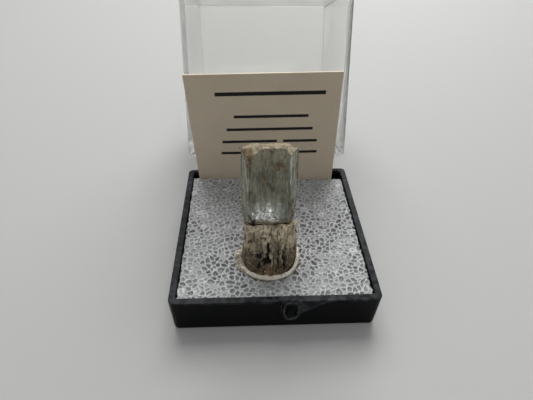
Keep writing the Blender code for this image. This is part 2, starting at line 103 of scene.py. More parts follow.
# Marks in and on the crystal, each x, z, half width, half height and strength: rust, painted shade
# in the middle, the clear skin over the crack, the dirt in the lower corners and the tan shelf at the
# foot
RUST_MARKS = ((-4.0, 26.2, 0.7, 0.9, 1.0), (-3.7, 24.6, 0.35, 1.2, 0.7), (-0.7, 27.4, 0.35, 0.5, 1.0),
              (0.45, 24.5, 0.8, 1.4, 1.0), (-3.2, 20.4, 0.5, 1.1, 1.0),
              (2.2, 18.4, 0.4, 1.2, 0.8), (-1.7, 22.8, 0.8, 1.8, 0.4))
MIDDLE_PAINTED_SHADE = ((-0.4, 22.6, 2.3, 4.2, 1.0), (1.1, 20.3, 1.2, 2.2, 0.5))
CRACK_WINDOW = ((-2.2, 17.8, 2.3, 2.6, 1.0), (0.4, 17.3, 1.6, 1.9, 0.6))
CORNER_MARKS = ((-3.45, 16.3, 0.5, 0.9, 1.0), (2.35, 16.3, 0.35, 0.6, 1.0))
SHELF_MARKS = ((-2.3, 16.42, 1.0, 0.32, 1.0), (-1.0, 16.15, 1.0, 0.25, 1.0))
# Silver crack: its left end and width, its foot, its height on the left and how much lower it is
# on the right, its place behind the front face, and how far it lies back for each millimetre up
CRACK_LEFT, CRACK_WIDTH, CRACK_THICKNESS = -3.7, 5.3, 0.03
CRACK_FOOT_Z, CRACK_HEIGHT, CRACK_FALL = 16.1, 3.9, 1.4
CRACK_BEHIND, CRACK_SLOPE = 0.38, 0.5
# Growth tubes: their number, and the heights that they keep between
TUBE_COUNT, TUBES_LOW_Z, TUBES_HIGH_Z = 520, 16.0, 25.6
# Rust grains for a mark of full strength, and the height that they stay under
GRAINS_PER_MARK, GRAINS_TOP_Z = 26, 26.9


# Numbers from noise

def hashed(cells, seed):
    """Repeatable number from 0 to 1 for each lattice cell, by mixing its three whole numbers."""
    x, y, z = (np.asarray(c).astype(np.int64) for c in cells)
    mixed = (x * 374761393 + y * 668265263 + z * 546917011 + seed * 974711) & 0xFFFFFFFF
    mixed = ((mixed ^ (mixed >> 13)) * 1274126177) & 0xFFFFFFFF
    return ((mixed ^ (mixed >> 16)) & 0xFFFFFF) / 0xFFFFFF


def drift(x, y, z, seed):
    """Smooth noise from -1 to 1: lattice values, eased and blended between eight corners."""
    places = np.broadcast_arrays(*(np.asarray(a, float) for a in (x, y, z)))
    cells = [np.floor(a) for a in places]
    eased = [(a - c) ** 2 * (3 - 2 * (a - c)) for a, c in zip(places, cells)]
    total = 0.0
    for corner in range(8):
        steps = [(corner >> axis) & 1 for axis in range(3)]
        weight = 1.0
        for step, ease in zip(steps, eased):
            weight = weight * (ease if step else 1 - ease)
        total = total + weight * hashed([c + s for c, s in zip(cells, steps)], seed)
    return 2 * total - 1


def layered(x, y, z, seed, layers=4):
    """Noise laid on noise, each layer twice as fine and half as strong as the one before."""
    total, strength = 0.0, 0.0
    for layer in range(layers):
        finer = 2 ** layer
        total = total + drift(x * finer, y * finer, z * finer, seed + layer) / finer
        strength += 1 / finer
    return total / strength


def eased_step(low, high, value):
    """0 below low, 1 above high and a smooth rise between them."""
    share = np.clip((value - low) / (high - low), 0, 1)
    return share * share * (3 - 2 * share)


def nearest_cells(x, y, size, seed):
    """Gap between the distances to the nearest two cell centres, the nearer one, and a number.

    The centres are a square lattice's points, each moved at random within its square. The gap is
    0 on the wall between two cells. The number is the nearest cell's own.
    """
    gx, gy = x / size, y / size
    cx, cy = np.floor(gx), np.floor(gy)
    first, second = np.full(x.shape, 9.0), np.full(x.shape, 9.0)
    number = np.zeros(x.shape)
    for dx in (-2, -1, 0, 1, 2):
        for dy in (-2, -1, 0, 1, 2):
            cell = (cx + dx, cy + dy, np.zeros_like(cx))
            px = cx + dx + hashed(cell, seed)
            py = cy + dy + hashed(cell, seed + 1)
            away = np.hypot(gx - px, gy - py)
            closer = away < first
            second = np.where(closer, first, np.minimum(second, away))
            number = np.where(closer, hashed(cell, seed + 2), number)
            first = np.where(closer, away, first)
    return (second - first) * size, first * size, number


# Meshes from grids of points

def stacked(*numbers):
    """Points from their three numbers, or faces from their corners, each a grid or one value."""
    return np.stack(np.broadcast_arrays(*numbers), axis=-1)


def full_turn(count):
    """Angles evenly round a full turn."""
    return np.linspace(0, 2 * math.pi, count, endpoint=False)


def squarish(turn, power):
    """A sine or cosine to a power, its sign kept: under 1 it makes a circle squarish."""
    return np.sign(turn) * np.abs(turn) ** power


def drawn_in(rim, inset):
    """x and y of a rim's points, drawn in to its middle by each share of an inset."""
    middle = rim[:, :2].mean(axis=0)
    return [middle[axis] + (rim[:, axis] - middle[axis]) * inset for axis in range(2)]


def numbered(rows, columns):
    """The numbers of the points of a grid."""
    return np.arange(rows * columns).reshape(rows, columns)


def open_grid(rows, columns):
    """Faces over rows of points that aren't joined round, and the points round their border."""
    index = numbered(rows, columns)
    quads = stacked(index[:-1, :-1], index[:-1, 1:], index[1:, 1:], index[1:, :-1])
    border = np.concatenate([index[0, :-1], index[:-1, -1], index[-1, :0:-1], index[:0:-1, 0]])
    return quads.reshape(-1, 4), border


def round_quads(index):
    """Faces between rows of points that are each joined round."""
    after = np.roll(index, -1, axis=1)
    return stacked(index[:-1], after[:-1], after[1:], index[1:]).reshape(-1, 4)


def round_grid(grid):
    """Closed surface over rows of points: each row is joined round, and each end meets in a pole."""
    rows, columns = grid.shape[:2]
    index = numbered(rows, columns)
    first, last = index[0], index[-1]
    fans = np.concatenate([stacked(np.roll(first, -1), first, rows * columns),
                           stacked(last, np.roll(last, -1), rows * columns + 1)])
    points = np.concatenate([grid.reshape(-1, 3), grid[:1].mean(axis=1), grid[-1:].mean(axis=1)])
    return points, round_quads(index), fans


def outward(points, quads, fans):
    """The same surface with its faces turned outwards, told by the sign of its volume."""
    corners = np.concatenate([quads[:, [0, 1, 2]], quads[:, [0, 2, 3]], fans])
    a, b, c = (points[corners[:, k]] for k in range(3))
    volume = np.einsum("ij,ij->i", a, np.cross(b, c)).sum()
    return (points, quads, fans) if volume > 0 else (points, quads[:, ::-1], fans[:, ::-1])


def joined(surfaces):
    """Several surfaces as one: points in a row, and each one's faces moved along with them."""
    points, quads, fans, start = [], [], [], 0
    for part in surfaces:
        part_points, part_quads, part_fans = outward(*part)
        points.append(part_points)
        quads.append(part_quads + start)
        fans.append(part_fans + start)
        start += len(part_points)
    return np.concatenate(points), np.concatenate(quads), np.concatenate(fans)


def placed(name, data):
    """New object in the scene."""
    made = bpy.data.objects.new(name, data)
    bpy.context.scene.collection.objects.link(made)
    return made


def make_piece(body, name, surfaces, material, slot=None, replaces=(), layers=()):
    """Object from one or more closed surfaces in millimetres, riding on a body.

    layers are pairs of a name and one value for each point, kept as attributes of the mesh.
    """
    points, quads, fans = joined(surfaces)
    mesh = bpy.data.meshes.new(name)
    corners = np.concatenate([quads.ravel(), fans.ravel()])
    starts = np.concatenate([4 * np.arange(len(quads)), quads.size + 3 * np.arange(len(fans))])
    mesh.vertices.add(len(points))
    mesh.vertices.foreach_set("co", (points * MM).astype(np.float32).ravel())
    mesh.loops.add(len(corners))
    mesh.loops.foreach_set("vertex_index", corners.astype(np.int32))
    mesh.polygons.add(len(starts))
    mesh.polygons.foreach_set("loop_start", starts.astype(np.int32))
    for layer, values in layers:
        mesh.attributes.new(layer, "FLOAT", "POINT").data.foreach_set(
            "value", np.asarray(values, np.float32))
    mesh.update(calc_edges=True)
    mesh.validate()
    mesh.shade_smooth()
    mesh.materials.append(material)
    made = placed(name, mesh)
    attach(made, body)
    if replaces:
        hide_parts(*replaces)


# Shader maths

def feed(tree, node, sockets):
    """Gives a node's inputs their values, or their links where the value is a tone."""
    for key, value in dict(sockets).items():
        if isinstance(value, Tone):
            tree.links.new(value.socket, node.inputs[key])
        else:
            node.inputs[key].default_value = value


class Tone:
    """A socket of a material's nodes. A sum or product of tones and numbers adds Math nodes."""

    def __init__(self, tree, socket=None):
        self.tree, self.socket = tree, socket

    def node(self, kind, settings=(), sockets=(), out=0):
        """A new node: its settings first, then each socket's value or link, then one output."""
        made = self.tree.nodes.new(kind)
        for key, value in dict(settings).items():
            setattr(made, key, value)
        feed(self.tree, made, sockets)
        return Tone(self.tree, made.outputs[out])

    def math(self, operation, *values):
        """A Math node over the values."""
        return self.node("ShaderNodeMath", {"operation": operation}, enumerate(values))

    def __add__(self, other):
        return self.math("ADD", self, other)

    def __sub__(self, other):
        return self.math("SUBTRACT", self, other)

    def __rsub__(self, other):
        return self.math("SUBTRACT", other, self)

    def __mul__(self, other):
        return self.math("MULTIPLY", self, other)

    __radd__ = __add__
    __rmul__ = __mul__

    def place(self):
        """Object coordinates."""
        return self.node("ShaderNodeTexCoord", out="Object")

    def parts(self, unit=MM):
        """The three numbers of a vector, in a unit, which is the millimetre if none is given."""
        split = self.node("ShaderNodeSeparateXYZ", sockets={0: self}).socket.node
        return [Tone(self.tree, output) * (1 / unit) for output in split.outputs]

    def moved(self, location=(0, 0, 0), rotation=(0, 0, 0), scale=(1, 1, 1), kind="POINT"):
        """A vector put through a Mapping node."""
        return self.node("ShaderNodeMapping", {"vector_type": kind},
                         {"Vector": self, "Location": location, "Rotation": rotation,
                          "Scale": scale})

    def noise(self, scale, detail, roughness=0.55):
        """Noise over a vector, about 0 to 1; scale is in features to the metre."""
        return self.node("ShaderNodeTexNoise", {}, {"Vector": self, "Scale": scale,
                                                    "Detail": detail, "Roughness": roughness})

    def capped(self):
        """This value, or 1 where it is over 1."""
        return self.math("MINIMUM", self, 1.0)

    def within(self, low, high, start=0.0, end=1.0):
        """Smooth rise from start to end as the value goes from low to high."""
        return self.node("ShaderNodeMapRange", {"interpolation_type": "SMOOTHSTEP"},
                         {"Value": self, "From Min": low, "From Max": high,
                          "To Min": start, "To Max": end})

    def mix(self, first, second):
        """Color from first to second as this mask goes from 0 to 1."""
        first, second = ((*c, 1) if isinstance(c, tuple) else c for c in (first, second))
        return self.node("ShaderNodeMix", {"data_type": "RGBA"}, {0: self, 6: first, 7: second},
                         out=2)

    def under(self, *coats):
        """This color with coats laid on it in turn, each a mask and the color that it brings."""
        color = self
        for mask, coat in coats:
            color = mask.mix(color, coat)
        return color

    def ramp(self, *stops):
        """Color ramp over a value, from stops that are each a place and a color."""
        color = self.node("ShaderNodeValToRGB", sockets={"Fac": self})
        elements = color.socket.node.color_ramp.elements
        while len(elements) < len(stops):
            elements.new(0.5)
        for element, (place, tint) in zip(elements, stops):
            element.position, element.color = place, (*tint, 1)
        return color

    def layer(self, name):
        """One of the mesh's own attributes."""
        return self.node("ShaderNodeAttribute", {"attribute_name": name}, out="Fac")

    def bumped(self, height_mm):
        """Normal of a surface raised by this value times a height in millimetres."""
        return self.node("ShaderNodeBump", {}, {"Height": self, "Distance": height_mm * MM,
                                                "Strength": 1.0})


def finish(recipe):
    """Material whose shader sockets are what the recipe returns for a fresh set of nodes."""
    material = bpy.data.materials.new(recipe.__name__)
    material.use_nodes = True
    tree = material.node_tree
    feed(tree, tree.nodes["Principled BSDF"], recipe(Tone(tree)))
    return material


def absorbing(material, color, density):
    """Gives a see-through material a body that takes light away with depth."""
    tree = material.node_tree
    body = Tone(tree).node("ShaderNodeVolumeAbsorption",
                           sockets={"Color": (*color, 1), "Density": density})
    feed(tree, tree.nodes["Material Output"], {"Volume": body})
    return material


def crusted(material, recipe):
    """Lays an opaque crust over a material, by the recipe's mask and in its color."""
    tree = material.node_tree
    tone = Tone(tree)
    mask, color = recipe(tone)
    below = Tone(tree, tree.nodes["Principled BSDF"].outputs[0])
    crust = tone.node("ShaderNodeBsdfPrincipled", sockets={
        "Base Color": color, "Roughness": 0.85, "Specular IOR Level": 0.2})
    both = tone.node("ShaderNodeMixShader", sockets={0: mask, 1: below, 2: crust})
    feed(tree, tree.nodes["Material Output"], {"Surface": both})
    return material


# Black tray

TRAY_RIM_Z, TRAY_FRONT_Y = 7.1, -15.7
# Scuffed wedge on the tray's front: its left end, the rise of its lower edge, and its height there
# at x = 0
WEDGE_X, WEDGE_RISE, WEDGE_START = 3.6, 0.79, 0.37
CATCH_MIDDLE = (2.25, 5.25)
CATCH_SQUARENESS = 0.75


def black_plastic(tone):
    """Moulded black plastic: dust along the rim, hairlines, and a scuffed wedge beside the catch."""
    place = tone.place()
    x, y, z = place.parts()
    grain = place.noise(900, 5)
    blotch = place.noise(180, 3)
    dust = (z + grain * 0.9).within(TRAY_RIM_Z - 0.35, TRAY_RIM_Z) * grain.within(0.36, 0.66)
    right = x.within(WEDGE_X - 0.25, WEDGE_X) * y.within(TRAY_FRONT_Y + 0.2, TRAY_FRONT_Y)
    over = z - x * WEDGE_RISE - WEDGE_START
    area = over.within(0, 0.15) * right
    edge = area * over.within(0.8, 0.3)
    patch = right * (z + x * 1.27).within(11.8, 11.5) * (z - x * 1.13).within(-0.8, -0.6)
    streaks = place.moved(rotation=(0, 0.66, 0), scale=(1, 1, 12)).noise(300, 5).within(0.38, 0.68)
    worn = (dust * 0.55 + area * streaks * 0.65 + edge * (streaks * 0.5 + 0.35)
            + patch * (grain.within(0.35, 0.6) * 0.4 + 0.3))
    scratch = place.moved(rotation=(0.2, 0.5, 0.3), scale=(1, 30, 1)).noise(300, 3)
    return {"Base Color": worn.mix((0.0019, 0.0021, 0.0027), (0.062, 0.066, 0.072)),
            "Roughness": blotch.within(0.3, 0.7, 0.3, 0.42) + worn * 0.3, "IOR": 1.5,
            "Specular IOR Level": 0.07, "Normal": (grain * 0.4 + scratch * 0.6).bumped(0.006)}


def catch_rings():
    """Two tubes on the catch, each carried along a squarish oval in x and z.

    The first is the whole ring round the knob. The second is the worn lip below and beside the
    shield, open at the top and drawn out to a point at both ends.
    """
    turn = full_turn(12)

    def tube(first, last, half, thick, y, count):
        angles = np.linspace(first, last, count)[:, None]
        fade = np.minimum(1, 8 * np.minimum(angles - first, last - angles) + 0.15)
        size = thick * (fade if last - first < 2 * math.pi else 1)
        reach = 1 + size * np.cos(turn) / min(half)
        x, z = (middle + wide * squarish(way(angles), CATCH_SQUARENESS) * reach
                for middle, wide, way in zip(CATCH_MIDDLE, half, (np.cos, np.sin)))
        return stacked(x, y + size * np.sin(turn), z)

    ring = tube(0, 2 * math.pi, (1.08, 2.2), 0.2, -16.28, 97)[:-1]
    index = numbered(*ring.shape[:2])
    quads = round_quads(np.concatenate([index, index[:1]]))
    lip = tube(math.radians(165), math.radians(318), (1.5, 3.0), 0.075, -15.93, 80)
    return (ring.reshape(-1, 3), quads, np.zeros((0, 3), int)), round_grid(lip)


def worn_black(tone):
    """The catch's black plastic, rubbed grey on its outermost edges."""
    grain = tone.place().noise(1500, 4)
    rub = grain.within(0.45, 0.65)
    return {"Base Color": (rub * 0.6).mix((0.0035, 0.0038, 0.0045), (0.1, 0.106, 0.115)),
            "Roughness": grain.within(0.3, 0.7, 0.2, 0.4), "Specular IOR Level": 0.3}


def worn_lip(tone):
    """Grey rubbed edge of black plastic."""
    grain = tone.place().noise(1500, 4)
    return {"Base Color": grain.within(0.3, 0.7).mix((0.03, 0.032, 0.036), (0.1, 0.105, 0.115)),
            "Roughness": 0.5, "Specular IOR Level": 0.2}


# Clear lid

def clear_plastic(tone):
    """Clear polystyrene with faint smears."""
    place = tone.place()
    smear = place.moved(scale=(1, 1, 0.4)).noise(150, 4)
    hair = place.moved(rotation=(0.6, 0.2, 0.9), scale=(1, 26, 1)).noise(240, 3)
    return {"Base Color": (0.975, 0.975, 0.96, 1), "Transmission Weight": 0.9, "IOR": 1.46,
            "Roughness": smear.within(0.45, 0.75, 0.06, 0.14), "Normal": hair.bumped(0.003)}


# Card

CARD_PLACE = Vector((-0.25, 13.89, 1.3))
CARD_WIDTH, CARD_HEIGHT = 26.6, 26.9
CARD_ROLL, CARD_LEAN, CARD_TURN = math.radians(-2.0), math.radians(1.0), math.radians(-1.8)
# Rules on the card: distance of each one's middle below the card's top, its two ends, its height
CARD_RULES = ((3.6, -8.35, 10.65, 0.75), (8.05, -5.4, 7.9, 0.6), (10.7, -6.9, 8.8, 0.6),
              (13.35, -7.9, 2.3, 0.6), (13.35, 3.4, 9.7, 0.6), (15.9, -8.3, 0.9, 0.6),
              (15.9, 2.0, 9.85, 0.6))


def printed_card(tone):
    """Buff card with a fine paper grain and five rows of plain printed rules."""
    foot_z = CARD_PLACE.z - CARD_WIDTH / 2 * math.sin(CARD_ROLL)
    turn = (Matrix.Rotation(CARD_TURN, 3, "Z") @ Matrix.Rotation(CARD_LEAN, 3, "X")
            @ Matrix.Rotation(CARD_ROLL, 3, "Y"))
    place = tone.place()
    local = place.moved(Vector((CARD_PLACE.x, CARD_PLACE.y, foot_z)) * MM, turn.to_euler("XYZ"),
                        kind="TEXTURE")
    across, deep, up = local.parts()
    edge = place.noise(4200, 2) * 0.12

    def rule(below, start, end, height):
        offset = up - (CARD_HEIGHT - below)
        offset = offset.math("ABSOLUTE", offset) + edge
        return (offset.within(height / 2 + 0.1, height / 2) * across.within(start - 0.05, start + 0.05)
                * across.within(end + 0.05, end - 0.05))

    ink = sum(rule(*numbers) for numbers in CARD_RULES) * deep.within(0.0, -0.1)
    fibre = place.noise(2600, 6, 0.7)
    paper = place.noise(120, 3).within(0.3, 0.7).mix((0.69, 0.59, 0.455), (0.765, 0.66, 0.515))
    color = paper.under((fibre.within(0.35, 0.65), (0.73, 0.62, 0.48)),
                        (ink * 0.985, (0.01, 0.01, 0.011)))
    return {"Base Color": color, "Roughness": 0.85, "Specular IOR Level": 0.25,
            "Normal": fibre.bumped(0.012)}


# Bead foam

def foam_block():
    """Foam surface and its layers: the bright rims of the cells, and their holes, which the finish
    darkens by their depth as painted shade.

    The top is a height over a grid of x and y. Each cell is a round bubble of its own radius,
    dished to a depth of its own and cut off where it meets the next, with a fine froth between.
    Cells are shallower towards the back, and an oval pocket for the putty is sunk into them. The
    grid's edges wander in and out, and a skirt runs down from them to the flat underside.
    """
    low, high = (np.array(corner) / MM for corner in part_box("foam_insert"))
    u, v = np.meshgrid(np.linspace(0, 1, FOAM_GRID), np.linspace(0, 1, FOAM_GRID))
    x = low[0] + u * (high[0] - low[0])
    back = FOAM_BACK + x * math.tan(FOAM_BACK_TURN)
    y = low[1] + v * (back - low[1])
    warp_x = x + 0.26 * drift(x / 1.3, y / 1.3, 0, 21)
    warp_y = y + 0.26 * drift(x / 1.3, y / 1.3, 5.0, 22)
    gap, centre, number = nearest_cells(warp_x, warp_y, CELL_SIZE, 31)
    radius = CELL_RADIUS[0] + (CELL_RADIUS[1] - CELL_RADIUS[0]) * number
    inside = np.minimum(radius - centre, 0.5 * gap - 0.02)
    hole = eased_step(0.0, 0.24, inside)
    small_gap = nearest_cells(x + 0.1 * drift(x, y, 2.0, 23), y, 0.5, 35)[0]
    froth = 1 - eased_step(0.01, 0.11, small_gap)
    rim = np.exp(-((inside - 0.01) / 0.055) ** 2) * eased_step(0.1, 0.24, centre)
    region = eased_step(-0.35, 0.35, layered(x / 4.5, y / 4.5, 0, 41, 2))
    calm = 1 - 0.6 * eased_step(-2.0, 11.0, y)
    depth = CELL_DEPTH * (0.35 + 0.65 * number) * (0.5 + 0.6 * region) * calm
    z = high[2] - 0.06 - depth * hole + 0.06 * rim + 0.04 * froth * (1 - hole)
    z += 0.03 * drift(x / 0.2, y / 0.2, 0, 51)
    z += 0.1 * (drift(x / 2.6, y / 2.6, 0, 61) - 1) * 0.5
    away = np.hypot(*((place - middle) / half for place, middle, half in
                      zip((x, y), POCKET_CENTRE, POCKET_HALF)))
    z -= POCKET_DEPTH * eased_step(1.025, 1.0, away)
    border = np.minimum.reduce([u, 1 - u, v, 1 - v]) * (high[0] - low[0])
    rag = FOAM_RAG * (0.5 + 0.5 * drift(x / 0.5, y / 0.5, 0, 71)) * eased_step(0.5, 0, border)
    x = x * (1 - rag / high[0])
    y = y - rag * np.sign(v - 0.5)
    z -= 0.5 * rag
    top = stacked(x, y, z).reshape(-1, 3)

    quads, edge = open_grid(FOAM_GRID, FOAM_GRID)
    skirt = top[edge]
    skirt[:, 2] = low[2]
    lower = len(top) + np.arange(len(edge))
    after = np.roll(lower, -1)
    sides = stacked(edge, lower, after, np.roll(edge, -1))
    floor = stacked(after, lower, lower[-1] + 1)
    points = np.concatenate([top, skirt, skirt.mean(axis=0)[None]])
    bright = np.clip(rim + 0.75 * froth * (1 - 0.7 * hole), 0, 1) * (0.75 + 0.25 * number)
    # Painted shade for the cell hollows: it follows how deep each cell is dished.
    painted_hole_shade = hole * (0.35 + 0.65 * number) * (0.55 + 0.45 * region) * calm
    layers = [(name, np.pad(values.ravel(), (0, len(edge) + 1)))
              for name, values in (("rim", bright), ("hole", painted_hole_shade))]
    return (points, np.concatenate([quads, sides]), floor), layers


def bead_foam(tone):
    """White foam: bright cell rims, a greyer froth, and painted shade in the cells, darker where they
    are dished deeper.
    """
    place = tone.place()
    rim, hole = tone.layer("rim"), tone.layer("hole")
    fine = place.noise(5200, 3)
    blotch = place.noise(330, 3)
    # The hole layer lays painted shade into the cells.
    color = fine.within(0.3, 0.7).mix((0.2, 0.203, 0.203), (0.29, 0.294, 0.292)).under(
        (blotch.within(0.35, 0.65) * 0.5, (0.2, 0.203, 0.205)),
        (hole.within(0.0, 0.9), (0.108, 0.11, 0.111)),
        (rim.within(0.15, 0.95), (0.5, 0.505, 0.5)))
    return {"Base Color": color, "Roughness": rim.within(0, 1, 0.42, 0.58),
            "Normal": fine.bumped(0.02)}


# Root outline, shared by the putty that holds it

def root_outline(angles, share):
    """x and y of the root at a share of its height: a squarish oval that shrinks to the top."""
    def between(foot, top):
        return foot * (1 - share) + top * share

    grow = 0.05 * np.sin(math.pi * np.clip(share * 1.6, 0, 1))
    power = 2 / between(*ROOT_SQUARENESS)
    return [between(ROOT_FOOT_CENTRE[axis], ROOT_TOP_CENTRE[axis])
            + (between(ROOT_FOOT_HALF[axis], ROOT_TOP_HALF[axis]) + grow) * squarish(turn, power)
            for axis, turn in enumerate((np.cos(angles), np.sin(angles)))]


def ledge_height(x, y):
    """Height of the plane where the crystal meets the root."""
    return (LEDGE_Z + LEDGE_SLOPE[0] * (x - PRISM_CENTRE[0])
            + LEDGE_SLOPE[1] * (y - PRISM_CENTRE[1]))


# Putty

def putty_collar():
    """Putty ring: a section carried round the oval of the root, pushed about by noise.

    The section climbs the stem, runs out under the flange, over the crest and down inside the
    cup. The crest climbs on the right, and on the left it spreads and is torn into ridges.
    """
    angles = full_turn(PUTTY_COLUMNS)
    ring_x, ring_y = np.cos(angles), np.sin(angles)

    def near(degrees, spread):
        turn = np.angle(np.exp(1j * (angles - math.radians(degrees))))
        return np.exp(-((turn / spread) ** 2))

    torn = near(184, 0.62)
    lumps = layered(2.2 * ring_x, 2.2 * ring_y, 0, 81, 3)
    nips = layered(7 * ring_x, 7 * ring_y, 3.0, 84, 3)
    flakes = layered(17 * ring_x, 17 * ring_y, 5.0, 87, 3)
    spread = 0.09 * lumps + 0.11 * nips + 0.05 * flakes + (0.52 + 0.3 * flakes) * torn
    toward = np.array([ring_x, ring_y])
    centre, half, stem = (np.array(pair)[:, None] for pair in (POCKET_CENTRE, PUTTY_HALF, PUTTY_STEM))
    brim = centre + (half + spread) * toward
    crack = near(291, 0.022)
    crest_z = PUTTY_CREST_Z + 0.1 * lumps + 0.18 * nips + 0.14 * flakes - 0.22 * crack
    crest_z = crest_z + 1.15 * near(8, 0.55) + (0.5 + 0.45 * flakes) * near(176, 0.5)
    foot = np.array(root_outline(angles, 0.0)) + 0.1 * toward
    mouth = np.array(root_outline(angles, 0.16)) - toward * (0.04 - 0.07 * nips)
    knots = np.stack([np.vstack([place, np.broadcast_to(z, (1, PUTTY_COLUMNS))]) for place, z in (
        (centre + (stem - 0.4) * toward, PUTTY_STEM_Z[0]), (centre + stem * toward, PUTTY_STEM_Z[1]),
        (centre + stem * toward, PUTTY_STEM_Z[2]), (brim - 0.06 * toward, PUTTY_FLANGE_Z),
        (brim, 0.6 * PUTTY_FLANGE_Z + 0.4 * crest_z), (0.75 * brim + 0.25 * mouth, crest_z - 0.05),
        (0.5 * brim + 0.5 * mouth, crest_z), (0.22 * brim + 0.78 * mouth, crest_z - 0.08),
        (mouth, crest_z - 0.3), (foot, PUTTY_CUP_Z))])
    along = np.linspace(0, len(knots) - 1, PUTTY_ROWS)
    low = np.clip(np.floor(along).astype(int), 0, len(knots) - 2)
    share = (along - low)[:, None, None]
    before, after = np.maximum(low - 1, 0), np.minimum(low + 2, len(knots) - 1)
    p0, p1, p2, p3 = knots[before], knots[low], knots[low + 1], knots[after]
    curve = 0.5 * (2 * p1 + (p2 - p0) * share + (2 * p0 - 5 * p1 + 4 * p2 - p3) * share ** 2
                   + (3 * p1 - p0 - 3 * p2 + p3) * share ** 3)
    grid = np.moveaxis(curve, 1, 2)
    x, y, z = grid[..., 0], grid[..., 1], grid[..., 2]
    shown = eased_step(PUTTY_STEM_Z[2], PUTTY_FLANGE_Z + 0.1, z)
    ridges = 0.42 * torn * (np.abs(drift(x / 0.3, y / 0.3, z / 0.45, 95)) - 0.4)
    push = (0.07 * layered(x * 2.2, y * 2.2, z * 2.2, 91, 4) + ridges) * shown
    grid += push[..., None] * stacked(ring_x, ring_y, 0.6)
    # Stains on the torn ridges and in the crack, with painted shade that darkens the left side and
    # fades out on the right.
    stain_and_side_shade = np.clip(0.17 - 0.17 * ring_x + 0.85 * torn * (0.52 - 2.6 * push / 0.3), 0, 1)
    stain_and_side_shade = np.maximum(stain_and_side_shade, crack * shown)
    return round_grid(grid), [("stain_and_side_shade", np.pad(stain_and_side_shade.ravel(), (0, 2)))]


def cream_putty(tone):
    """Chalky cream putty, greyer and stained where it is torn, darker low down, and with painted shade
    on its left side.
    """
    place = tone.place()
    low = place.parts()[2].within(7.0, 6.55)
    blotch = place.noise(520, 5)
    fine = place.noise(3600, 4)
    # Stains, painted shade on the left side, and a darkening low down by the foam and the root's foot.
    stain = (tone.layer("stain_and_side_shade") * 0.9 + low * 0.4) * blotch.within(0.32, 0.6)
    color = blotch.within(0.3, 0.7).mix((0.93, 0.87, 0.75), (0.82, 0.745, 0.62))
    return {"Base Color": stain.mix(color, (0.25, 0.2, 0.135)), "Roughness": 0.7,
            "Normal": fine.bumped(0.035)}


# Root of fibrous rock

# Clefts in the root's front: x at the top, x at the foot, lowest and highest z, width and depth
CLEFTS = ((-1.0, -1.35, 8.6, 13.2, 0.26, 0.9), (1.5, 1.75, 8.0, 13.2, 0.16, 0.75),
          (-0.15, -0.35, 7.2, 10.8, 0.14, 0.45), (0.8, 0.6, 7.4, 12.4, 0.14, 0.45),
          (-2.6, -2.95, 7.2, 9.6, 0.18, 0.5), (2.75, 2.6, 8.5, 13.2, 0.12, 0.4),
          (-3.6, -3.95, 7.0, 9.4, 0.16, 0.45), (-2.0, -2.2, 10.0, 13.4, 0.12, 0.3),
          (2.0, 1.9, 6.8, 9.6, 0.13, 0.6), (-1.75, -1.85, 6.9, 8.9, 0.12, 0.5),
          (0.15, 0.1, 6.8, 8.8, 0.1, 0.5))
# Pits in the root's front: x, z, half width, half height and depth
PITS = ((-1.5, 9.3, 0.9, 0.7, 1.1), (1.35, 13.75, 0.5, 0.18, 0.6), (2.45, 14.2, 0.18, 0.25, 0.6),
        (-3.2, 10.1, 0.95, 0.4, 0.4), (-0.6, 8.1, 0.22, 0.3, 0.5), (-2.1, 8.2, 0.2, 0.35, 0.5),
        (-1.3, 7.9, 0.2, 0.25, 0.5), (0.5, 9.0, 0.25, 0.6, 0.35))
# Coloured patches on the root's front: x, z, half width, half height and strength
CREAM_PATCHES = ((0.4, 14.3, 0.75, 0.8, 1.0), (-1.4, 15.0, 2.2, 0.4, 0.8),
                 (-3.6, 14.7, 0.6, 0.6, 0.9), (-0.5, 10.2, 0.3, 1.6, 0.8),
                 (1.25, 11.0, 0.14, 1.7, 0.8), (2.6, 11.2, 0.7, 2.0, 0.45),
                 (2.2, 15.0, 1.0, 0.5, 0.6), (-1.9, 13.2, 0.9, 0.9, 0.35))
GREY_PATCHES = ((0.55, 11.3, 0.8, 1.9, 0.9), (-3.1, 10.2, 1.1, 0.6, 1.0), (-2.4, 12.2, 0.9, 1.0, 0.55),
                (-2.0, 14.1, 1.0, 0.5, 0.4))
RUSTY_PATCHES = ((-1.3, 7.9, 1.6, 0.9, 1.0), (1.3, 8.0, 1.1, 0.7, 0.7), (3.1, 9.2, 0.5, 1.7, 0.6),
                 (-3.9, 13.2, 0.35, 1.3, 0.6), (1.9, 13.0, 0.5, 0.5, 0.35))


def oval(x, z, mark):
    """Squared distance from a mark's middle, which is 1 on the oval with the mark's half sizes."""
    return ((x - mark[0]) / mark[2]) ** 2 + ((z - mark[1]) / mark[3]) ** 2


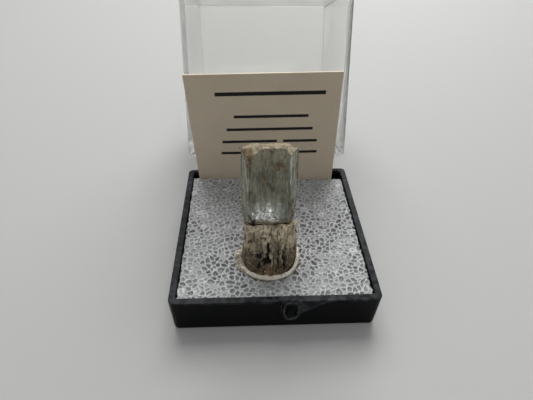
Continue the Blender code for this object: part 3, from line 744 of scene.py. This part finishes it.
def root_lump():
    """Root surface and its layers: how deep it is cut, which the finish paints as shade, and its
    cream, grey and rusty patches.

    Radius is the outline less three sets of upright ribs, each a noise folded at zero and
    stretched in height, less flakes, clefts and pits. At the sides and back, patches are noise.
    """
    share = np.linspace(0, 1, ROOT_ROWS)[:, None]
    x, y = root_outline(full_turn(ROOT_COLUMNS), share)
    centre_x, centre_y = x.mean(axis=1, keepdims=True), y.mean(axis=1, keepdims=True)
    top = ledge_height(x, y)
    z = ROOT_FOOT_Z + share * (top - ROOT_FOOT_Z)
    sway = 0.45 * drift(x / 1.8, y / 1.8, z / 2.2, 101)
    ribs = 0.0
    for width, reach, strength, seed in ((1.4, 4.0, 0.3, 111), (0.6, 2.2, 0.2, 121),
                                         (0.22, 1.0, 0.1, 131)):
        fold = np.abs(drift((x + sway) / width, (y + sway) / width, z / reach, seed))
        ribs = ribs + strength * (1 - np.sqrt(np.clip(fold * 1.8, 0, 1)))
    ribs = ribs * (0.4 + 0.6 * np.sin(math.pi * np.clip(share + 0.08, 0, 1)))
    flakes = 0.17 * (1 + np.tanh(4 * drift((x + sway) / 0.9, y / 0.9, (z + sway) / 1.5, 136)))
    flakes = flakes + 0.05 * (1 + np.tanh(4 * drift(x / 0.3, y / 0.3, z / 0.5, 138)))
    facing = eased_step(-0.1, 0.5, -(y - centre_y) / ROOT_TOP_HALF[1])
    cleft = 0.0
    for top_x, foot_x, z_low, z_high, width, depth in CLEFTS:
        line = foot_x + (top_x - foot_x) * (z - z_low) / (z_high - z_low)
        line = line + 0.2 * drift(z / 0.7, top_x, 0, 141)
        span = eased_step(z_low - 0.4, z_low + 0.5, z) * eased_step(z_high, z_high - 1.2, z)
        cleft = cleft + depth * np.exp(-((x - line) / width) ** 2) * span * facing
    warp_x = x + 0.28 * drift(x / 0.6, z / 0.6, 0, 145)
    warp_z = z + 0.28 * drift(x / 0.6, z / 0.6, 4.0, 146)
    pits = sum(pit[4] * eased_step(1.3, 0.4, oval(warp_x, warp_z, pit)) for pit in PITS) * facing
    chips = 0.12 * layered(x / 0.7, y / 0.7, z / 0.6, 161, 4)
    deep = np.maximum(ribs + flakes + cleft + pits + chips - 0.12, 0.0)

    patches = []
    for marks, seed, share_elsewhere in ((CREAM_PATCHES, 191, 0.8), (GREY_PATCHES, 192, 0.8),
                                         (RUSTY_PATCHES, 193, 0.6)):
        front = sum(mark[4] * np.exp(-oval(warp_x, warp_z, mark)) for mark in marks)
        elsewhere = eased_step(0.05, 0.45, layered(x / 1.6, y / 1.6, z / 2.2, seed, 3))
        patches.append(np.clip(front * facing + share_elsewhere * elsewhere * (1 - facing), 0, 1))

    away = np.hypot(x - centre_x, y - centre_y)
    shrink = 1 - deep / away
    notch = 0.5 * eased_step(0.9, 1.0, share) * np.abs(drift(x / 0.5, y / 0.5, 0, 171))
    grid = stacked(centre_x + (x - centre_x) * shrink, centre_y + (y - centre_y) * shrink,
                   z - notch * 0.6)
    rim = grid[-1]
    inset = np.linspace(0.97, 0.08, ROOT_CAP_ROWS)[:, None]
    cap_x, cap_y = drawn_in(rim, inset)
    cap_z = ledge_height(cap_x, cap_y) - 0.1 * np.abs(layered(cap_x, cap_y, 0, 181, 4))
    cap_z = cap_z + (rim[:, 2] - ledge_height(rim[:, 0], rim[:, 1])) * inset ** 6
    grid = np.concatenate([grid, stacked(cap_x, cap_y, cap_z)])
    beyond = ROOT_CAP_ROWS * ROOT_COLUMNS + 2
    # The deep layer is what the finish paints as shade.
    layers = [(name, np.pad(values.ravel(), (0, beyond), constant_values=0.25))
              for name, values in zip(("deep", "cream", "grey", "rusty"), (deep, *patches))]
    return round_grid(grid), layers


def root_rock(tone):
    """Tan and brown fibrous rock, darker towards its foot, with painted shade in its clefts, pits and
    rib valleys, and cream, grey and rusty patches.
    """
    place = tone.place()
    stretched = place.moved(scale=(1, 1, 0.3))
    fibre = stretched.noise(2600, 6, 0.68)
    hair = stretched.noise(4600, 2)
    bands = stretched.noise(700, 4)
    blotch = place.noise(520, 4)
    fine = place.noise(5200, 5, 0.65)
    color = bands.ramp((0.36, (0.19, 0.145, 0.095)), (0.5, (0.51, 0.415, 0.28)),
                       (0.64, (0.82, 0.69, 0.49))).under(
        # Darker towards the foot.
        (place.parts()[2].within(13.2, 8.5) * 0.86, (0.098, 0.07, 0.042)),
        (tone.layer("grey") * 0.85, (0.115, 0.111, 0.082)),
        (tone.layer("cream") * blotch.within(0.25, 0.5) * 0.85, (0.79, 0.69, 0.5)),
        (tone.layer("rusty") * blotch.within(0.3, 0.58) * 0.85, (0.25, 0.12, 0.048)),
        (fibre.within(0.53, 0.38), (0.06, 0.046, 0.03)),
        (fine.within(0.58, 0.7) * 0.55, (0.76, 0.69, 0.54)),
        (hair.within(0.57, 0.66) * 0.5, (0.7, 0.61, 0.44)),
        # Painted shade: near black where the surface is cut deepest.
        (tone.layer("deep").within(0.45, 0.95) * 0.97, (0.008, 0.006, 0.004)))
    return {"Base Color": color, "Roughness": fine.within(0.3, 0.7, 0.55, 0.9),
            "Normal": (fibre * 0.7 + fine * 0.3).bumped(0.07)}


# Crystal

def prism_girth():
    """Points round the prism's six faces, the inward direction of each, and its way along them."""
    w, d, f = PRISM_HALF_WIDTH, PRISM_HALF_DEPTH, PRISM_FACE_HALF
    corners = np.array([(-f, -d), (f, -d), (w, -0.1), (f, d), (-f, d), (-w, -0.1)])
    points, inward, way, start = [], [], [], 0.0
    for corner, after in zip(corners, np.roll(corners, -1, axis=0)):
        length = np.linalg.norm(after - corner)
        along = (after - corner) / length
        steps = np.linspace(0, length, int(length * PRISM_POINTS_PER_MM), endpoint=False)
        points.append(corner + steps[:, None] * along)
        inward.append(np.tile((-along[1], along[0]), (len(steps), 1)))
        way.append(start + steps)
        start += length + 40.0
    return np.concatenate(points), np.concatenate(inward), np.concatenate(way)


def prism_axis(z):
    """x and y of the leaning prism's middle at a height."""
    return [middle + lean * (z - LEDGE_Z) for middle, lean in zip(PRISM_CENTRE, PRISM_LEAN)]


def prism_top(x, y):
    """Height of the broken top: highest in front, falling to the back, its front corners chipped."""
    middle = prism_axis(PRISM_TOP_Z)
    u, v = (x - middle[0]) / PRISM_HALF_WIDTH, (y - middle[1]) / PRISM_HALF_DEPTH
    fall = 0.35 * u ** 4 + PRISM_TOP_FALL * (v + 1) / 2
    for side, start, reach, depth in PRISM_CHIPS:
        past = side * u - start + 0.14 * layered(x * 1.3, y * 1.3, side, 205, 4)
        fall = fall + depth * eased_step(0, 1.15 * reach, past) * np.clip(-v, 0, 1)
    etched = 0.18 * layered(x * 1.1, y * 1.1, 0, 201, 5) + 0.12 * np.abs(
        drift(x * 2.6, y * 2.6, 0, 211))
    return PRISM_TOP_Z - fall + etched - 0.1


def crystal_prism():
    """Prism surface and a layer that marks its top.

    The surface is the girth at each height, pressed in by the growth lines, and two ends. Each
    set of lines is a noise along the girth that changes slowly with height and is squeezed into
    flat ledges with steep sides.
    """
    girth, inward, way = prism_girth()
    share = np.linspace(0, 1, PRISM_ROWS)[:, None]
    z_about = LEDGE_Z + share * (PRISM_TOP_Z - LEDGE_Z)
    swell = 0.955 + 0.07 * np.sin(math.pi * np.minimum(share * 0.9, 1) ** 0.8)
    pressed = 0.0
    for number, (width, reach, depth) in enumerate(GROWTH_LINES):
        wander = 0.25 * drift(way / 3.0, z_about / 6.0, number, 221)
        ledges = drift((way + wander) / width, z_about / reach, number, 231)
        pressed = pressed + depth * (0.5 + 0.5 * np.tanh(3.2 * ledges))
    pressed = pressed + 0.02 * (1 + layered(way * 2.5, z_about * 1.2, 0, 241, 3))
    bites = np.abs(drift(way / 0.8, share * 3, 0, 251))
    pressed = pressed + 0.25 * eased_step(0.12, 0.0, share) * bites
    flare = 1 + PRISM_FLARE * share * (girth[:, 0] > 0)
    middle = prism_axis(z_about)
    x = middle[0] + girth[:, 0] * swell * flare + inward[:, 0] * pressed
    y = middle[1] + girth[:, 1] * swell + inward[:, 1] * pressed
    foot, head = ledge_height(x, y) + LEDGE_GAP, prism_top(x, y)
    z = foot + (head - foot) * share
    sides = stacked(x, y, z)
    inset = np.linspace(0.985, 0.04, PRISM_CAP_ROWS)[:, None]
    under_x, under_y = drawn_in(sides[0], inset)
    over_x, over_y = drawn_in(sides[-1], inset)
    under_z = ledge_height(under_x, under_y) + LEDGE_GAP + 0.08 * np.abs(
        layered(under_x, under_y, 0, 261, 4)) * (1 - inset ** 8)
    under = stacked(under_x, under_y, under_z)
    over = stacked(over_x, over_y, prism_top(over_x, over_y))
    top = np.zeros((len(under) + len(sides) + len(over), sides.shape[1]))
    top[-len(over) - 1:] = 1
    return round_grid(np.concatenate([under[::-1], sides, over])), [
        ("top", np.concatenate([top.ravel(), [0.0, 1.0]]))]


def upright_streaks(place, scale, detail, stretch=0.05):
    """Noise drawn out along the crystal's length, more so with a smaller stretch."""
    return place.moved(scale=(1, 1, stretch)).noise(scale, detail, 0.55)


def spot(x, z, marks):
    """Mask of soft round marks in x and z, each with its own strength."""
    def soft(at_x, at_z, wide, tall, power):
        aside, along = (x - at_x) * (1 / wide), (z - at_z) * (1 / tall)
        return (aside * aside + along * along).within(1.7, 0.1) * power

    return sum(soft(*mark) for mark in marks)


def beryl(tone):
    """Clear grey-green beryl: streaked down its sides, with painted shade in its middle, clearer over
    the crack.
    """
    place = tone.place()
    x, _, z = place.parts()
    fibre = upright_streaks(place, 5600, 3)
    streak = upright_streaks(place, 2300, 4)
    broad = upright_streaks(place, 800, 3)
    dash = upright_streaks(place, 5600, 2, 0.22)
    fine = place.noise(5200, 3)
    top = tone.layer("top")
    window = spot(x, z, CRACK_WINDOW)
    color = broad.within(0.35, 0.65).mix((0.55, 0.56, 0.38), (0.9, 0.92, 0.75)).under(
        # Painted shade in the middle, for the dark rock and foam seen through the crystal.
        (spot(x, z, MIDDLE_PAINTED_SHADE) * broad.within(0.6, 0.4), (0.22, 0.2, 0.11)),
        (streak.within(0.48, 0.62) * 0.75, (0.25, 0.25, 0.17)),
        (fibre.within(0.52, 0.6) * 0.9, (0.98, 0.98, 0.9)),
        (dash.within(0.54, 0.6) * 0.85, (0.98, 0.98, 0.88)),
        (dash.within(0.44, 0.38) * 0.75, (0.16, 0.15, 0.08)),
        (top * 0.85, (0.5, 0.41, 0.27)),
        (window * 0.85, (0.98, 0.985, 0.975)))
    rough = streak.within(0.35, 0.7, 0.04, 0.16) * (1 - window * 0.6) + top * 0.2
    relief = streak * 0.42 + fibre * 0.28 + dash * 0.12 + fine * 0.18
    return {"Base Color": color, "Transmission Weight": 0.88, "IOR": BERYL_IOR,
            "Roughness": rough, "Normal": relief.bumped(0.1)}


def beryl_crust(tone):
    """What lies on the beryl: tan on its broken top and at its foot, rust, and pale dull fibres."""
    place = tone.place()
    x, y, z = place.parts()
    blotch = place.noise(900, 5, 0.6)
    speck = place.noise(3600, 4, 0.6)
    fibre = upright_streaks(place, 4200, 3)
    broad = upright_streaks(place, 700, 3)
    dash = upright_streaks(place, 5600, 2, 0.22)
    above = z - ledge_height(x, y)
    front = y.within(-4.6, -6.2)
    top = tone.layer("top") * (blotch.within(0.34, 0.62) * 0.4 + 0.4)
    base = above.within(0.6, 0.35) * blotch.within(0.36, 0.5)
    seam = above.within(0.3, 0.18) * blotch.within(0.44, 0.52)
    shelf = spot(x, z, SHELF_MARKS) * front * blotch.within(0.3, 0.45)
    rust = spot(x, z, RUST_MARKS) * front * blotch.within(0.4, 0.56) * speck.within(0.36, 0.56)
    stain = spot(x, z, CORNER_MARKS) * front * blotch.within(0.34, 0.5)
    side = x.within(-2.7, -3.5) * 0.42
    high = z.within(23.0, 27.0) * 0.22
    lines = fibre.within(0.52, 0.6) * 0.75 + dash.within(0.54, 0.62) * 0.35
    bare = 1 - spot(x, z, CRACK_WINDOW).capped() * 0.85
    pale = lines * (broad.within(0.36, 0.6) * 0.5 + side + high) * bare
    mask = (pale + top + (base + shelf) * 0.8 + (rust + stain + seam) * 0.85).capped()
    color = base.within(0.03, 0.2).mix((0.7, 0.69, 0.53), (0.44, 0.35, 0.22)).under(
        (shelf.within(0.05, 0.4), (0.66, 0.58, 0.44)),
        (speck.within(0.62, 0.5), (0.4, 0.36, 0.25)),
        (top.within(0.1, 0.4),
         blotch.within(0.38, 0.6).mix((0.17, 0.14, 0.09), (0.34, 0.285, 0.19))),
        (rust.within(0.02, 0.2),
         speck.ramp((0.4, (0.055, 0.034, 0.012)), (0.66, (0.25, 0.145, 0.06)))),
        ((stain + seam).within(0.05, 0.3), (0.045, 0.03, 0.016)))
    return mask, color


def front_face_y(z):
    """y of the prism's front face at a height."""
    return prism_axis(z)[1] - PRISM_HALF_DEPTH


def silver_crack():
    """Silvery crack inside the prism: a closed thin leaf low behind the front face.

    It lies back as it climbs, at a slope that sends light from above out through the front face,
    and low ripples run across it.
    """
    u, v = np.meshgrid(np.linspace(0, 1, 190), np.linspace(0, 1, 150))
    width = CRACK_WIDTH + 0.3 * drift(v * 6, 0.0, 0, 301)
    x = CRACK_LEFT + width * u + 0.25 * drift(v * 5, 2.0, 0, 302) * (1 - u)
    crown = CRACK_HEIGHT - CRACK_FALL * eased_step(0.1, 0.75, u) + 0.35 * drift(u * 8, 0.0, 0, 303)
    z = CRACK_FOOT_Z + crown * v + 0.1 * drift(u * 5, 0.0, 0, 304) * (1 - v)
    wave = 0.08 * layered(u * 5.0, v * 5.0, 0, 311, 4)
    wave = wave + 0.035 * np.abs(drift(u * 13, v * 15, 0, 321))
    y = front_face_y(z) + CRACK_BEHIND + CRACK_SLOPE * crown * v + wave
    front = stacked(x, y, z).reshape(-1, 3)
    face, rim = open_grid(*x.shape)
    shift, after = len(front), np.roll(rim, -1)
    edge = stacked(after, rim, rim + shift, after + shift)
    points = np.concatenate([front, front + np.array((0.0, CRACK_THICKNESS, 0.0))])
    return points, np.concatenate([face, face[:, ::-1] + shift, edge]), np.zeros((0, 3), int)


def silver_film(tone):
    """Trapped air in the crack: it mirrors like silver, thins out in patches, dims to the right."""
    place = tone.place()
    right = place.parts()[0].within(0.1, 0.7)
    patch = place.moved(scale=(1, 1, 1.8)).noise(800, 5)
    ripple = place.moved(scale=(0.6, 1, 2.4)).noise(1900, 4)
    color = (right * 0.85).mix((0.94, 0.96, 0.95), (0.14, 0.17, 0.18))
    return {"Base Color": color, "Metallic": 0.93,
            "Roughness": ripple.within(0.3, 0.7, 0.06, 0.22), "Alpha": patch.within(0.24, 0.36),
            "Normal": ripple.bumped(0.04)}


def growth_tubes():
    """Fine upright tubes and streaks inside the prism, each a slim six-sided spindle."""
    lot = np.random.default_rng(401)
    surfaces = []
    turn = full_turn(6)
    along = np.linspace(0, 1, 7)[:, None]
    for _ in range(TUBE_COUNT):
        aside = lot.uniform(-3.3, 3.3)
        deep = 0.75 - 1.6 * lot.uniform(0, 1) ** 0.6
        length = lot.uniform(0.8, 6.0)
        z = lot.uniform(TUBES_LOW_Z, TUBES_HIGH_Z - length) + length * along
        radius = lot.uniform(0.014, 0.055) * np.sin(math.pi * (0.06 + 0.88 * along))
        x, y = prism_axis(z)
        x = x + aside + radius * np.cos(turn)
        y = y + PRISM_HALF_DEPTH * deep + radius * np.sin(turn)
        surfaces.append(round_grid(stacked(x, y, z)))
    return surfaces


def pale_streak(tone):
    """Milky tube filling."""
    color = tone.place().noise(600, 3).ramp((0.36, (0.13, 0.125, 0.075)),
                                            (0.48, (0.46, 0.46, 0.33)), (0.6, (0.88, 0.88, 0.76)))
    return {"Base Color": color, "Roughness": 0.45}


def rust_grains():
    """Rusty grains and films inside the crystal, in clusters at its stains, as lumpy flat beads."""
    lot = np.random.default_rng(501)
    surfaces = []
    turn = full_turn(9)
    fall = np.linspace(0.12, math.pi - 0.12, 7)[:, None]
    for cx, cz, wide, tall, power in RUST_MARKS:
        for _ in range(int(GRAINS_PER_MARK * power)):
            x = cx + lot.normal() * wide * 0.5
            z = min(cz + lot.normal() * tall * 0.5, GRAINS_TOP_Z)
            y = front_face_y(z) + 0.3 + abs(lot.normal()) * 0.35
            y += 2.1 * max(abs(x - PRISM_CENTRE[0]) - PRISM_FACE_HALF, 0)
            z = min(z, prism_top(x, y) - 0.3)
            size = lot.uniform(0.03, 0.12)
            lump = size * (1 + 0.35 * np.sin(3 * turn + lot.uniform(0, 6)) * np.sin(fall))
            surfaces.append(round_grid(stacked(
                x + 0.8 * lump * np.sin(fall) * np.cos(turn),
                y + 0.45 * lump * np.sin(fall) * np.sin(turn), z + 1.9 * size * np.cos(fall))))
    return surfaces


def rust(tone):
    """Iron stain, orange to dark brown."""
    color = tone.place().noise(1200, 4).ramp((0.35, (0.1, 0.045, 0.014)), (0.65, (0.5, 0.25, 0.06)))
    return {"Base Color": color, "Roughness": 0.7}


# Pieces

def build_pieces():
    """Finishes for three of the frame's solids, and the pieces that stand for the rest or are new."""
    for node, recipe in (("base_tray", black_plastic), ("lid", clear_plastic),
                         ("label_card", printed_card)):
        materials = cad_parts[node].data.materials
        materials.clear()
        materials.append(finish(recipe))
    ring, lip = catch_rings()
    foam, foam_layers = foam_block()
    collar, collar_layers = putty_collar()
    lump, lump_layers = root_lump()
    prism, prism_layers = crystal_prism()
    clear = absorbing(crusted(finish(beryl), beryl_crust), BERYL_TINT, BERYL_DENSITY)
    for piece in (
            ("catch_ring", [ring], finish(worn_black), "black_plastic"),
            ("catch_lip", [lip], finish(worn_lip), "black_plastic"),
            ("bead_foam_block", [foam], finish(bead_foam), "bead_foam", ["foam_insert"], foam_layers),
            ("putty_ring", [collar], finish(cream_putty), "putty", ["mounting_putty"],
             collar_layers),
            ("fibrous_root", [lump], finish(root_rock), "root_rock", ["matrix_root"], lump_layers),
            ("beryl_prism", [prism], clear, "beryl", ["aquamarine_crystal"], prism_layers),
            ("silver_crack", [silver_crack()], finish(silver_film)),
            ("growth_tubes", growth_tubes(), finish(pale_streak)),
            ("rust_grains", rust_grains(), finish(rust))):
        make_piece("base", *piece)


# Floor, light and camera

FLOOR_HALF = 1.5
FLOOR_COLOR = (0.42, 0.423, 0.41)
# Lamps: name, place, aim, size and power, with lengths in metres
LAMPS = (("lamp_above", (-0.01, 0.24, 0.37), (0, 0, 0), 0.28, 1.42),
         ("lamp_behind", (0.14, 0.4, 0.26), (0, 0.03, 0), 0.26, 0.8),
         ("lamp_front", (0.05, -0.2, 0.4), (0, 0, 0.01), 0.2, 0.36))
SKY_COLOR = (0.96, 0.98, 1.0)
SKY_DIM, SKY_BRIGHT = 0.05, 0.52


def floor_paper(tone):
    """Pale matt paper."""
    return {"Base Color": (*FLOOR_COLOR, 1), "Roughness": 0.75}


def lay_floor():
    """Wide pale floor at the height that the box stands on."""
    mesh = bpy.data.meshes.new("floor")
    h = FLOOR_HALF
    mesh.from_pydata([(-h, -h, 0), (h, -h, 0), (h, h, 0), (-h, h, 0)], [], [(0, 1, 2, 3)])
    mesh.materials.append(finish(floor_paper))
    floor = placed("floor", mesh)


def area_light(name, place, aim, size, power):
    """Square soft white light at a place, turned to an aim."""
    lamp = bpy.data.lights.new(name, "AREA")
    lamp.size, lamp.energy = size, power
    made = placed(name, lamp)
    made.location = place
    made.rotation_euler = (Vector(aim) - Vector(place)).to_track_quat("-Z", "Y").to_euler()


def light_room():
    """Even pale surroundings, dimmer towards the viewer, with soft lamps above and behind."""
    world = bpy.data.worlds.new("room")
    world.use_nodes = True
    bpy.context.scene.world = world
    tree = world.node_tree
    _, y, z = Tone(tree).node("ShaderNodeTexCoord", out="Generated").parts(1)
    bright = (y * 0.55 + z * 0.8).within(-0.15, 0.95, SKY_DIM, SKY_BRIGHT)
    feed(tree, tree.nodes["Background"], {"Strength": bright, "Color": (*SKY_COLOR, 1)})
    for lamp in LAMPS:
        area_light(*lamp)


def set_camera():
    """Camera at the photograph's place and angle."""
    lens = bpy.data.cameras.new("photo_camera")
    lens.sensor_width = SENSOR_WIDTH
    lens.lens = FOCAL_PIXELS / PHOTO_WIDTH * SENSOR_WIDTH
    lens.clip_start, lens.clip_end = 0.002, 10.0
    made = placed("photo_camera", lens)
    made.matrix_world = (Matrix.Translation(Vector(EYE) * MM) @ Matrix.Rotation(-EYE_YAW, 4, "Z")
                         @ Matrix.Rotation(math.pi / 2 - EYE_PITCH, 4, "X")
                         @ Matrix.Rotation(EYE_ROLL, 4, "Z"))
    bpy.context.scene.camera = made


set_camera()
light_room()
lay_floor()
build_pieces()
bpy.context.scene.view_settings.view_transform = "Standard"
